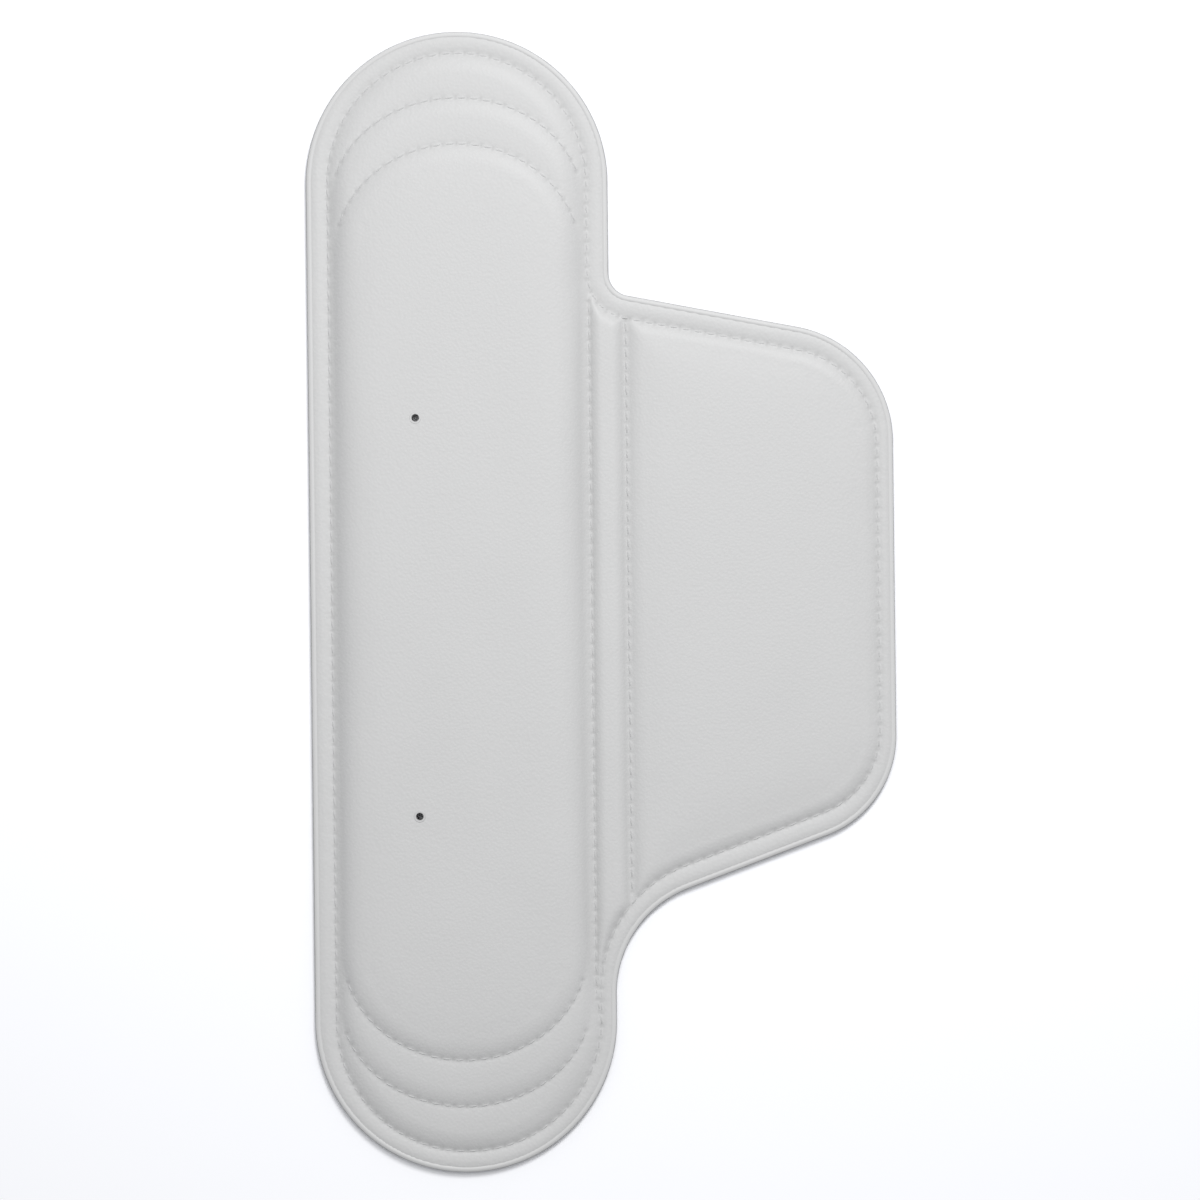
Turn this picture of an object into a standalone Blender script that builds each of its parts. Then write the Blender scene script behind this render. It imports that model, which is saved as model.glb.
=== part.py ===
"""Cricket leg pad, laid flat on its back: a long padded shin bolster with a calf wing on its side.

The pad is a sandwich. A coated-fabric cover lies over stepped foam layers and a thin stiffening
board, a brushed lining closes the back, and a round piping finishes the edge where the two meet.
Stitching pulls the cover down to the lining around three pockets: the shin, a narrow rib beside
it, and the wing. The wing folds about the stitched line between the rib and the wing.

Frame: the origin is on the back face at the centre of the shin bolster, +X runs towards the
wing, +Y towards the knee end, and +Z out of the padded front. Everything is in metres.
"""

import math

import bmesh
import bpy
from mathutils import Vector

# Outline of the pad
SHIN_LENGTH = 0.450
SHIN_WIDTH = 0.119
WING_REACH = 0.171  # from the shin's centre line to the wing's outer edge
WING_UPPER_ROOT_Y = 0.1216  # where the wing's upper edge would meet the shin's side
WING_UPPER_TIP_Y = 0.0998  # where it would meet the wing's outer edge
WING_LOWER_TIP_Y = -0.0835
WING_LOWER_ROOT_Y = -0.1247
UPPER_ROOT_RADIUS = 0.009
UPPER_TIP_RADIUS = 0.046
LOWER_TIP_RADIUS = 0.042
LOWER_ROOT_RADIUS = 0.0442

# The fold between rib and wing
FOLD_X = 0.066
FOLD_Z = 0.00175
FOLD_RADIUS = 0.0014
FOLD_CLEARANCE = 0.0020  # how far shin and wing stay back from the fold line
FOLD_END_INSET = 0.0065  # the bar stops here, clear of the piping that bends round its ends

# Sheets, layers and gaps
GAP = 0.0003
COVER = 0.0010
LINING = 0.0010
FLANGE_TOP = 0.0028  # the cover where it is stitched down flat
SHEET_INSET = 0.0031  # the sheets stop here and the piping takes over
PIPING_RADIUS = 0.0014
PIPING_Z = 0.0017
THREAD_RADIUS = 0.00035
STITCH_INSET = 0.0085
WING_STITCH_INSET = 0.0090
WING_TIP_STITCH_INSET = 0.0065
LOWER_SHIN_STITCH_INSET = 0.0060

# The cover over the shin, from the seam up, as (half width, half length, depth of round end, height)
SHIN_PROFILE = (
    (0.0502, 0.2157, 0.0502, 0.0020),
    (0.0498, 0.2152, 0.0498, 0.0034),
    (0.0486, 0.2136, 0.0486, 0.0046),
    (0.0472, 0.2106, 0.0468, 0.0055),
    (0.0470, 0.1983, 0.0410, 0.0056),
    (0.0466, 0.1970, 0.0404, 0.0060),
    (0.0460, 0.1957, 0.0400, 0.0069),
    (0.0450, 0.1938, 0.0394, 0.0075),
    (0.0448, 0.1799, 0.0432, 0.0076),
    (0.0444, 0.1784, 0.0426, 0.0080),
    (0.0436, 0.1772, 0.0420, 0.0089),
    (0.0420, 0.1752, 0.0410, 0.0094),
    (0.0392, 0.1718, 0.0390, 0.0096),
)
LOWER_LEDGE = 4  # the rings above whose flat the step stitching runs
UPPER_LEDGE = 8
# The cover over the rib and the wing, as (distance in from the pocket's edge, height)
RIB_PROFILE = ((0.0, 0.0020), (0.0002, 0.0039), (0.0012, 0.0050), (0.0026, 0.0055), (0.0040, 0.0056))
WING_PROFILE = ((0.0, 0.0020), (0.0004, 0.0034), (0.0016, 0.0044), (0.0036, 0.00495), (0.0070, 0.0051))
RIB_LEFT_X = 0.0529
RIB_RIGHT_X = 0.0637
RIB_STITCH_X = 0.0515
RIB_STITCH_TOP_Y = 0.1180
RIB_STITCH_BOTTOM_Y = -0.1650
WING_LEFT_X = 0.0687
FAR = 0.4  # safely outside the pad on any side
POCKET_MARGIN = 0.0013  # from a stitched line to the foot of the padding

# Foam layers and board, as (half width, half length, depth of round end, lower and upper height)
SHIN_COMFORT_FOAM = (0.0482, 0.2136, 0.0482, 0.0013, 0.0025)
SHIN_BASE_FOAM = (0.0459, 0.2092, 0.0454, 0.0028, 0.0042)
SHIN_BOARD = (0.0448, 0.1935, 0.0388, 0.0045, 0.0052)
SHIN_MIDDLE_FOAM = (0.0438, 0.1920, 0.0378, 0.0055, 0.0062)
SHIN_TOP_FOAM = (0.0408, 0.1736, 0.0398, 0.0065, 0.0082)
WING_COMFORT_FOAM_HEIGHTS = (0.0013, 0.0022)
WING_CORE_FOAM_HEIGHTS = (0.0025, 0.0035)
WING_CORE_INSET = 0.0050

# Two eyelets right through the pad
EYELET_X = -0.017
EYELET_YS = {"upper": 0.0725, "lower": -0.0840}
EYELET_BORE_RADIUS = 0.00145
EYELET_BARREL_RADIUS = 0.0018
EYELET_FLANGE_RADIUS = 0.0024
EYELET_RIM = 0.0005
EYELET_SUNK = 0.00005  # its rolled end stays this far inside the back face
EYELET_SEAT_RADIUS = 0.0031  # the dimple in the lining that the rolled end sits in
EYELET_SEAT_DEPTH = 0.0008
EYELET_HOLE_RADIUS = EYELET_BARREL_RADIUS + GAP

ARC_STEP = math.radians(9)
END_SEGMENTS = 20
ROUND_SEGMENTS = 20  # round an eyelet or its hole
LEAST_CORNER_RADIUS = 0.0005
SHARP_ANGLE = math.radians(35)  # edges sharper than this are shaded hard
CUT_EDGE_ANGLE = math.radians(50)  # edges of a layer sharper than this are rounded
CUT_EDGE_SEGMENTS = 2
EYELET_CHAMFER = 0.0002
ARC_TRIM = 2  # segments left off each end of a step's stitching


# Outlines


def turn_at(before, corner, after):
    """Directions into and out of a corner, and the signed angle between them."""
    into = (Vector(corner[:2]) - Vector(before[:2])).normalized()
    out = (Vector(after[:2]) - Vector(corner[:2])).normalized()
    return into, out, math.atan2(into.x * out.y - into.y * out.x, into.dot(out))


def rounded(corners):
    """Points of a closed counter-clockwise outline whose corners are (x, y, fillet radius)."""
    points = []
    for i, corner in enumerate(corners):
        into, out, turn = turn_at(corners[i - 1], corner, corners[(i + 1) % len(corners)])
        radius = corner[2]
        side = math.copysign(1, turn)
        start = Vector(corner[:2]) - into * radius * math.tan(abs(turn) / 2)
        centre = start + Vector((-into.y, into.x)) * radius * side
        first = math.atan2(start.y - centre.y, start.x - centre.x)
        steps = max(1, math.ceil(abs(turn) / ARC_STEP))
        for k in range(steps + 1):
            angle = first + turn * k / steps
            point = centre + Vector((math.cos(angle), math.sin(angle))) * radius
            if not points or (point - points[-1]).length > 1e-6:
                points.append(point)
    if (points[0] - points[-1]).length < 1e-6:
        points.pop()
    return points


def inset(corners, insets):
    """Corners moved inwards by one distance for each edge; edge i runs from corner i to corner i + 1."""
    count = len(corners)
    if isinstance(insets, float):
        insets = [insets] * count
    moved = []
    for i in range(count):
        into, out, turn = turn_at(corners[i - 1], corners[i], corners[(i + 1) % count])
        here = Vector(corners[i][:2])
        a = here + Vector((-into.y, into.x)) * insets[i - 1]
        b = here + Vector((-out.y, out.x)) * insets[i]
        along = (b - a).cross(out) / into.cross(out)
        radius = corners[i][2] - math.copysign(1, turn) * (insets[i - 1] + insets[i]) / 2
        moved.append((*(a + into * along), max(radius, LEAST_CORNER_RADIUS)))
    return moved


def pad_corners():
    """The pad's outer edge, counter-clockwise from the foot end's left corner."""
    half_width, half_length = SHIN_WIDTH / 2, SHIN_LENGTH / 2
    return [
        (-half_width, -half_length, half_width),
        (half_width, -half_length, half_width),
        (half_width, WING_LOWER_ROOT_Y, LOWER_ROOT_RADIUS),
        (WING_REACH, WING_LOWER_TIP_Y, LOWER_TIP_RADIUS),
        (WING_REACH, WING_UPPER_TIP_Y, UPPER_TIP_RADIUS),
        (half_width, WING_UPPER_ROOT_Y, UPPER_ROOT_RADIUS),
        (half_width, half_length, half_width),
        (-half_width, half_length, half_width),
    ]


def stitch_corners():
    """The line of the stitching that runs round the pad, inside its edge."""
    insets = [STITCH_INSET] * 8
    insets[1] = LOWER_SHIN_STITCH_INSET
    insets[2] = insets[4] = WING_STITCH_INSET
    insets[3] = WING_TIP_STITCH_INSET
    return inset(pad_corners(), insets)


def stadium(half_width, half_length, end_depth):
    """A closed counter-clockwise outline with straight sides and half-elliptical ends."""
    points = []
    for sign in (-1, 1):
        for k in range(END_SEGMENTS + 1):
            angle = math.pi * (k / END_SEGMENTS + (sign < 0))
            y = sign * (half_length - end_depth) + end_depth * math.sin(angle)
            points.append(Vector((half_width * math.cos(angle), y)))
    return points


def one_side(points, limit, sign):
    """The stretch of a closed outline where sign * x > sign * limit, as an open line that ends on the limit."""
    count = len(points)
    inside = [sign * (p.x - limit) > 0 for p in points]
    first = next(i for i in range(count) if inside[i] and not inside[i - 1])
    line = [crossing(points[first - 1], points[first], limit)]
    i = first
    while inside[i % count]:
        line.append(points[i % count])
        i += 1
    return line + [crossing(points[(i - 1) % count], points[i % count], limit)]


def crossing(a, b, x):
    return a.lerp(b, (x - a.x) / (b.x - a.x))


# Solids


def material(name, colour, roughness, metallic=0.0):
    made = bpy.data.materials.new(name)
    made.use_nodes = True
    shader = made.node_tree.nodes["Principled BSDF"]
    shader.inputs["Base Color"].default_value = (*colour, 1.0)
    shader.inputs["Roughness"].default_value = roughness
    shader.inputs["Metallic"].default_value = metallic
    return made


def add_mesh(name, shape, finish):
    """Links a bmesh to the scene as a named object with its normals facing out."""
    bmesh.ops.recalc_face_normals(shape, faces=shape.faces)
    mesh = bpy.data.meshes.new(name)
    shape.to_mesh(mesh)
    shape.free()
    mesh.materials.append(finish)
    mesh.shade_smooth()
    mesh.set_sharp_from_angle(angle=SHARP_ANGLE)
    obj = bpy.data.objects.new(name, mesh)
    bpy.context.scene.collection.objects.link(obj)
    return obj


def stack(name, rings, finish):
    """A closed solid through rings of equal count, each (points, height), from the lowest up."""
    shape = bmesh.new()
    loops = [[shape.verts.new((p.x, p.y, height)) for p in points] for points, height in rings]
    shape.faces.new(reversed(loops[0]))
    shape.faces.new(loops[-1])
    for lower, upper in zip(loops, loops[1:]):
        for i in range(len(lower)):
            shape.faces.new((lower[i - 1], lower[i], upper[i], upper[i - 1]))
    return add_mesh(name, shape, finish)


def plate(name, points, low, high, finish):
    """A flat sheet with this outline: one face, extruded upwards."""
    shape = bmesh.new()
    face = shape.faces.new([shape.verts.new((p.x, p.y, low)) for p in points])
    made = bmesh.ops.extrude_face_region(shape, geom=[face])["geom"]
    raised = [v for v in made if isinstance(v, bmesh.types.BMVert)]
    bmesh.ops.translate(shape, verts=raised, vec=(0, 0, high - low))
    return add_mesh(name, shape, finish)


def soften(obj, width):
    """Rounds the hard edges of a cut foam or board."""
    bevel = obj.modifiers.new("rounded_edges", "BEVEL")
    bevel.width = width
    bevel.segments = CUT_EDGE_SEGMENTS
    bevel.limit_method = "ANGLE"
    bevel.angle_limit = CUT_EDGE_ANGLE


def combine(obj, other, operation):
    """A Boolean with a helper object, which is left out of the model."""
    other.hide_render = True
    other.display_type = "WIRE"
    boolean = obj.modifiers.new(f"{operation}_{other.name}".lower(), "BOOLEAN")
    boolean.operation = operation
    boolean.object = other
    boolean.solver = "EXACT"


def block(name, low, high):
    """A plain box cutter between two corners."""
    shape = bmesh.new()
    bmesh.ops.create_cube(shape, size=1.0)
    low, high = Vector(low), Vector(high)
    for vert in shape.verts:
        vert.co = [(low[i] + high[i]) / 2 + vert.co[i] * (high[i] - low[i]) for i in range(3)]
    return add_mesh(name, shape, helper)


def bar_along_y(name, section):
    """A long cutter whose cross-section is this closed line of (x, height) points."""
    shape = bmesh.new()
    face = shape.faces.new([shape.verts.new((p.x, -FAR, p.y)) for p in section])
    made = bmesh.ops.extrude_face_region(shape, geom=[face])["geom"]
    far_end = [v for v in made if isinstance(v, bmesh.types.BMVert)]
    bmesh.ops.translate(shape, verts=far_end, vec=(0, 2 * FAR, 0))
    return add_mesh(name, shape, helper)


def drill(name, x, y, radius, low, high):
    """A round cutter on the Z axis."""
    shape = bmesh.new()
    bmesh.ops.create_cone(
        shape, cap_ends=True, segments=ROUND_SEGMENTS, radius1=radius, radius2=radius, depth=high - low
    )
    bmesh.ops.translate(shape, verts=shape.verts, vec=(x, y, (low + high) / 2))
    return add_mesh(name, shape, helper)


def cord(name, points, height, radius, sides_resolution, finish):
    """A round cord along a line at one height: the piping, and each run of thread."""
    curve = bpy.data.curves.new(name, "CURVE")
    curve.dimensions = "3D"
    curve.twist_mode = "Z_UP"
    curve.bevel_depth = radius
    curve.bevel_resolution = sides_resolution
    curve.use_fill_caps = True
    spline = curve.splines.new("POLY")
    spline.points.add(len(points) - 1)
    for target, p in zip(spline.points, points):
        target.co = (p.x, p.y, height, 1.0)
    curve.materials.append(finish)
    obj = bpy.data.objects.new(name, curve)
    bpy.context.scene.collection.objects.link(obj)
    return obj


def turned(name, x, y, profile, finish):
    """A ring turned about a vertical axis from a closed (radius, height) profile."""
    shape = bmesh.new()
    verts = [shape.verts.new((x + radius, y, height)) for radius, height in profile]
    edges = [shape.edges.new((verts[i - 1], verts[i])) for i in range(len(verts))]
    bmesh.ops.spin(
        shape,
        geom=verts + edges,
        cent=(x, y, 0),
        axis=(0, 0, 1),
        angle=2 * math.pi,
        steps=ROUND_SEGMENTS,
        use_merge=True,
    )
    bmesh.ops.remove_doubles(shape, verts=shape.verts, dist=1e-6)
    return add_mesh(name, shape, finish)


# Sub-parts


def shin_rings(shrink, base):
    """The shin's stepped outer surface, moved inwards and down by shrink, standing on height base."""
    rings = []
    for i, (half_width, half_length, end_depth, height) in enumerate(SHIN_PROFILE):
        points = stadium(half_width - shrink, half_length - shrink, end_depth - shrink)
        rings.append((points, base if i == 0 else height - shrink))
    return rings


def pocket(name, profile, left, right, shrink, base, finish):
    """The padding's form between two lines along Y: it rounds down at the stitching and at both lines."""
    rings = []
    section = [Vector((left + shrink, base - COVER))]
    for i, (distance, height) in enumerate(profile):
        height = base if i == 0 else height - shrink
        outline = inset(stitch_corners(), POCKET_MARGIN + distance + shrink)
        rings.append((rounded(outline), height))
        section.append(Vector((left + distance + shrink, height)))
    section.append(Vector((section[-1].x, FAR)))
    mirrored = [Vector((left + right - p.x, p.y)) for p in reversed(section)]
    form = stack(name, rings, finish)
    combine(form, bar_along_y(f"{name}_section", section + mirrored), "INTERSECT")
    return form


def rib_form(name, shrink, base, finish):
    return pocket(name, RIB_PROFILE, RIB_LEFT_X, RIB_RIGHT_X, shrink, base, finish)


def wing_form(name, shrink, base, finish):
    return pocket(name, WING_PROFILE, WING_LEFT_X, FAR, shrink, base, finish)


def shin_side(name):
    """Everything up to the fold, as a box to intersect with."""
    return block(name, (-FAR, -FAR, -FAR), (FOLD_X - FOLD_CLEARANCE, FAR, FAR))


def wing_side(name):
    """Everything beyond the fold."""
    return block(name, (FOLD_X + FOLD_CLEARANCE, -FAR, -FAR), (FAR, FAR, FAR))


def pierce(obj):
    """Cuts the two eyelet holes through a layer."""
    for end, y in EYELET_YS.items():
        cutter = drill(f"{end}_hole_in_{obj.name}", EYELET_X, y, EYELET_HOLE_RADIUS, -0.01, 0.03)
        combine(obj, cutter, "DIFFERENCE")


def build_covers():
    """The coated front cover: a flat flange that rises into a pocket over each piece of padding."""
    edge = rounded(inset(pad_corners(), SHEET_INSET))
    shin = plate("shin_cover", edge, LINING + GAP, FLANGE_TOP, coated_fabric)
    combine(shin, shin_side("shin_side_of_cover"), "INTERSECT")
    combine(shin, stack("shin_form", shin_rings(0.0, SHIN_PROFILE[0][3]), coated_fabric), "UNION")
    combine(shin, rib_form("rib_form", 0.0, RIB_PROFILE[0][1], coated_fabric), "UNION")
    combine(shin, stack("shin_hollow", shin_rings(COVER, 0.0), helper), "DIFFERENCE")
    combine(shin, rib_form("rib_hollow", COVER, 0.0, helper), "DIFFERENCE")
    pierce(shin)

    wing = plate("wing_cover", edge, LINING + GAP, FLANGE_TOP, coated_fabric)
    combine(wing, wing_side("wing_side_of_cover"), "INTERSECT")
    combine(wing, wing_form("wing_form", 0.0, WING_PROFILE[0][1], coated_fabric), "UNION")
    combine(wing, wing_form("wing_hollow", COVER, 0.0, helper), "DIFFERENCE")


def build_linings():
    """The brushed lining that closes the back, with a dimple where each eyelet's end is rolled over."""
    edge = rounded(inset(pad_corners(), SHEET_INSET))
    shin = plate("shin_lining", edge, 0.0, LINING, brushed_lining)
    combine(shin, shin_side("shin_side_of_lining"), "INTERSECT")
    pierce(shin)
    for end, y in EYELET_YS.items():
        seat = drill(f"{end}_seat", EYELET_X, y, EYELET_SEAT_RADIUS, -0.01, EYELET_SEAT_DEPTH)
        combine(shin, seat, "DIFFERENCE")
    wing = plate("wing_lining", edge, 0.0, LINING, brushed_lining)
    combine(wing, wing_side("wing_side_of_lining"), "INTERSECT")


def build_shin_layers():
    """The layers inside the shin pocket, each shorter than the one below, which make its steps."""
    layers = (
        ("shin_comfort_foam", SHIN_COMFORT_FOAM, soft_foam, 0.0005),
        ("shin_base_foam", SHIN_BASE_FOAM, firm_foam, 0.0005),
        ("shin_stiffening_board", SHIN_BOARD, board, 0.0002),
        ("shin_middle_foam", SHIN_MIDDLE_FOAM, firm_foam, 0.0003),
        ("shin_top_foam", SHIN_TOP_FOAM, firm_foam, 0.0007),
    )
    for name, (half_width, half_length, end_depth, low, high), finish, edge in layers:
        layer = plate(name, stadium(half_width, half_length, end_depth), low, high, finish)
        soften(layer, edge)
        pierce(layer)


def build_rib_and_wing_layers():
    """One foam strip in the rib, and a comfort layer under a firmer core in the wing."""
    rib_form("rib_foam", COVER + GAP, LINING + GAP, firm_foam)
    layers = (
        ("wing_comfort_foam", COVER + 2 * GAP, WING_COMFORT_FOAM_HEIGHTS, soft_foam),
        ("wing_core_foam", WING_CORE_INSET, WING_CORE_FOAM_HEIGHTS, firm_foam),
    )
    for name, distance, heights, finish in layers:
        outline = rounded(inset(stitch_corners(), POCKET_MARGIN + distance))
        layer = plate(name, outline, *heights, finish)
        side = block(f"{name}_side", (WING_LEFT_X + distance, -FAR, -FAR), (FAR, FAR, FAR))
        combine(layer, side, "INTERSECT")


def build_piping():
    """The round piping between cover and lining, in two lengths that meet at the fold."""
    line = rounded(inset(pad_corners(), PIPING_RADIUS))
    shin = one_side(line, FOLD_X - FOLD_CLEARANCE, -1)
    wing = one_side(line, FOLD_X + FOLD_CLEARANCE, 1)
    cord("shin_piping", shin, PIPING_Z, PIPING_RADIUS, 1, coated_fabric)
    cord("wing_piping", wing, PIPING_Z, PIPING_RADIUS, 1, coated_fabric)


def fold_line(edge_inset):
    """The two ends of the fold line, this far in from the pad's edge."""
    beyond = one_side(rounded(inset(pad_corners(), edge_inset)), FOLD_X, 1)
    return [beyond[0], beyond[-1]]


def build_fold():
    """The fold itself: cover and lining sewn together flat, as a bar centred on the axis it bends about."""
    cord("fold_seam", fold_line(FOLD_END_INSET), FOLD_Z, FOLD_RADIUS, 3, coated_fabric)


def end_arc(half_width, half_length, end_depth):
    """The line across the knee end of a step, stopping short of its straight sides."""
    around = stadium(half_width, half_length, end_depth)
    return around[END_SEGMENTS + 1 :][ARC_TRIM:-ARC_TRIM]


def build_stitching():
    """The lockstitched thread, one node for each run that is sewn without a break."""
    on_flange = FLANGE_TOP + GAP + THREAD_RADIUS
    edge_line = rounded(stitch_corners())
    rib_line = [Vector((RIB_STITCH_X, y)) for y in (RIB_STITCH_BOTTOM_Y, RIB_STITCH_TOP_Y)]
    # The fold's own thread lies close enough to the axis for the wing to turn about it.
    on_fold = FOLD_Z + FOLD_RADIUS + GAP / 2 + THREAD_RADIUS
    runs = {
        "shin_edge_stitching": (one_side(edge_line, FOLD_X - FOLD_CLEARANCE, -1), on_flange),
        "wing_edge_stitching": (one_side(edge_line, FOLD_X + FOLD_CLEARANCE, 1), on_flange),
        "rib_stitching": (rib_line, on_flange),
        "fold_stitching": (fold_line(WING_STITCH_INSET), on_fold),
    }
    steps = {"outer": SHIN_PROFILE[LOWER_LEDGE], "inner": SHIN_PROFILE[UPPER_LEDGE]}
    for step, (half_width, half_length, end_depth, height) in steps.items():
        arc = end_arc(half_width + GAP, half_length + GAP, end_depth)
        on_ledge = height + GAP + THREAD_RADIUS
        runs[f"knee_{step}_step_stitching"] = (arc, on_ledge)
        runs[f"foot_{step}_step_stitching"] = ([Vector((p.x, -p.y)) for p in arc], on_ledge)
    for name, (line, height) in runs.items():
        cord(name, line, height, THREAD_RADIUS, 0, thread)


def build_eyelets():
    """A slim eyelet through every layer, its flange on the cover and its end rolled over in the lining."""
    seat = SHIN_PROFILE[-1][3] + GAP
    bore, barrel, flange = EYELET_BORE_RADIUS, EYELET_BARREL_RADIUS, EYELET_FLANGE_RADIUS
    chamfer = EYELET_CHAMFER
    profile = (
        (bore, chamfer),
        (bore + chamfer, EYELET_SUNK),
        (flange - chamfer, EYELET_SUNK),
        (flange, chamfer),
        (flange, EYELET_RIM),
        (barrel, EYELET_RIM),
        (barrel, seat),
        (flange, seat),
        (flange, seat + EYELET_RIM - chamfer),
        (flange - chamfer, seat + EYELET_RIM),
        (bore + chamfer, seat + EYELET_RIM),
        (bore, seat + EYELET_RIM - chamfer),
    )
    for end, y in EYELET_YS.items():
        turned(f"{end}_eyelet", EYELET_X, y, profile, lacquered_metal)


for old in list(bpy.data.objects):
    bpy.data.objects.remove(old, do_unlink=True)

coated_fabric = material("coated_fabric", (0.66, 0.66, 0.66), 0.5)
brushed_lining = material("brushed_lining", (0.62, 0.63, 0.64), 0.95)
firm_foam = material("firm_foam", (0.80, 0.80, 0.78), 0.9)
soft_foam = material("soft_foam", (0.78, 0.78, 0.74), 0.95)
board = material("board", (0.20, 0.21, 0.22), 0.4)
thread = material("thread", (0.60, 0.60, 0.60), 0.7)
lacquered_metal = material("lacquered_metal", (0.70, 0.70, 0.70), 0.35)
helper = material("helper", (0.8, 0.2, 0.2), 0.5)

build_covers()
build_linings()
build_shin_layers()
build_rib_and_wing_layers()
build_piping()
build_fold()
build_stitching()
build_eyelets()
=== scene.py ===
"""Looks of the cricket leg pad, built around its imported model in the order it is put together."""

import math

import bpy
import numpy as np
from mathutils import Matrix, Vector
from mathutils.kdtree import KDTree


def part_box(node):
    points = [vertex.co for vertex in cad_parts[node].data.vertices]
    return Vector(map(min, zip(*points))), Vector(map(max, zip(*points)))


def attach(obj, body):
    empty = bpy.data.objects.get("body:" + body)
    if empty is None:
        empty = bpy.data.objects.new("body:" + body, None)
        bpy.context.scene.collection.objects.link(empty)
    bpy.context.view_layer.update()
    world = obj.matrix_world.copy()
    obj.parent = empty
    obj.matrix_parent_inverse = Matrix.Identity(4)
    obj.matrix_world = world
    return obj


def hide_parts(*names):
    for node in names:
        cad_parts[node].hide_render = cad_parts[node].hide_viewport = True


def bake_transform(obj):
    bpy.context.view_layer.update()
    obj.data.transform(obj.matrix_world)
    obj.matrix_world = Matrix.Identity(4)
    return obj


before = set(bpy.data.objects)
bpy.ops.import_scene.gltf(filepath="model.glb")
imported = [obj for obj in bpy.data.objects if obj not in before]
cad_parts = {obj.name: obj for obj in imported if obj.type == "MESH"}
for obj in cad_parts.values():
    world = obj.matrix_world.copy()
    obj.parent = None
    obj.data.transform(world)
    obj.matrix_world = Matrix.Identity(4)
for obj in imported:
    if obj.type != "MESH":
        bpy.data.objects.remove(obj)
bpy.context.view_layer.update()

# Back lining. A brushed polyester knit cut to the pad's full outline, which closes the back.
# It is sewn to the front cover along every quilted line, and is drawn up a little along each.

HALF_WIDTH = -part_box("shin_piping")[0].x
HALF_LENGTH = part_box("shin_piping")[1].y
WING_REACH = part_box("wing_piping")[1].x
PAD_PATTERN = (
    (-HALF_WIDTH, -HALF_LENGTH, HALF_WIDTH),
    (HALF_WIDTH, -HALF_LENGTH, HALF_WIDTH),
    (HALF_WIDTH, -0.1247, 0.0442),
    (WING_REACH, -0.0835, 0.042),
    (WING_REACH, 0.0998, 0.046),
    (HALF_WIDTH, 0.1216, 0.009),
    (HALF_WIDTH, HALF_LENGTH, HALF_WIDTH),
    (-HALF_WIDTH, HALF_LENGTH, HALF_WIDTH),
)
SEAM_MARGINS = (0.0085, 0.0060, 0.0090, 0.0065, 0.0090, 0.0085, 0.0085, 0.0085)
FOLD_X = 0.066
RIB_X = 0.0515
RIB_LOWER_X = 0.0535
RIB_LINE_TOP = 0.118
RIB_LINE_BOTTOM = -0.168
OUTER_STEP = (0.0494, 0.1986, 0.0415)
INNER_STEP = (0.0484, 0.1802, 0.0440)
EYELETS = [np.mean(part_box(node), axis=0)[:2] for node in ("upper_eyelet", "lower_eyelet")]
EYELET_HOLE = 0.0021


def evenly(points, step):
    """The same line with its points spaced evenly, about one step apart."""
    run = np.concatenate(([0], np.cumsum(np.hypot(*np.diff(points, axis=0).T))))
    places = np.linspace(0, run[-1], round(run[-1] / step) + 1)
    return np.column_stack([np.interp(places, run, points[:, k]) for k in (0, 1)])


def cutting_line(margins):
    """The pad's rounded pattern, counter-clockwise, with each side moved in by its margin."""
    count = len(PAD_PATTERN)
    sides = []
    for i in range(count):
        start = Vector(PAD_PATTERN[i][:2])
        along = (Vector(PAD_PATTERN[(i + 1) % count][:2]) - start).normalized()
        sides.append((start + Vector((-along.y, along.x)) * margins[i], along))
    points = []
    for i in range(count):
        (before, into), (after, out) = sides[i - 1], sides[i]
        turn = math.atan2(into.cross(out), into.dot(out))
        corner = before + into * ((after - before).cross(out) / into.cross(out))
        radius = PAD_PATTERN[i][2] - math.copysign((margins[i - 1] + margins[i]) / 2, turn)
        start = corner - into * radius * math.tan(abs(turn) / 2)
        centre = start + Vector((-into.y, into.x)) * math.copysign(radius, turn)
        first = math.atan2(start.y - centre.y, start.x - centre.x)
        for angle in np.linspace(first, first + turn, max(3, round(radius * abs(turn) / 0.0005))):
            points.append((centre.x + radius * math.cos(angle), centre.y + radius * math.sin(angle)))
    return evenly(np.array(points + points[:1]), 0.001)[:-1]


def beside(places, line):
    """For each place: how far inside a closed line it is, how far along, and the line's nearest point."""
    tree = KDTree(len(line))
    for i, (x, y) in enumerate(line):
        tree.insert((x, y, 0), i)
    tree.balance()
    nearest = np.array([tree.find((x, y, 0))[1] for x, y in places])
    ahead = np.roll(line, -1, axis=0) - line
    lengths = np.hypot(*ahead.T)
    run = np.concatenate(([0], np.cumsum(lengths)))
    inside = np.full(len(places), np.inf)
    along = np.zeros(len(places))
    foot = np.zeros((len(places), 2))
    for k in ((nearest - 1) % len(line), nearest):
        offset = places - line[k]
        share = np.clip((offset * ahead[k]).sum(1) / lengths[k] ** 2, 0, 1)
        point = line[k] + ahead[k] * share[:, None]
        distance = np.hypot(*(places - point).T)
        closer = distance < np.abs(inside)
        left = ahead[k, 0] * offset[:, 1] - ahead[k, 1] * offset[:, 0]
        inside = np.where(closer, np.copysign(distance, left), inside)
        along = np.where(closer, run[k] + share * lengths[k], along)
        foot = np.where(closer[:, None], point, foot)
    return inside, along, foot


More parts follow.
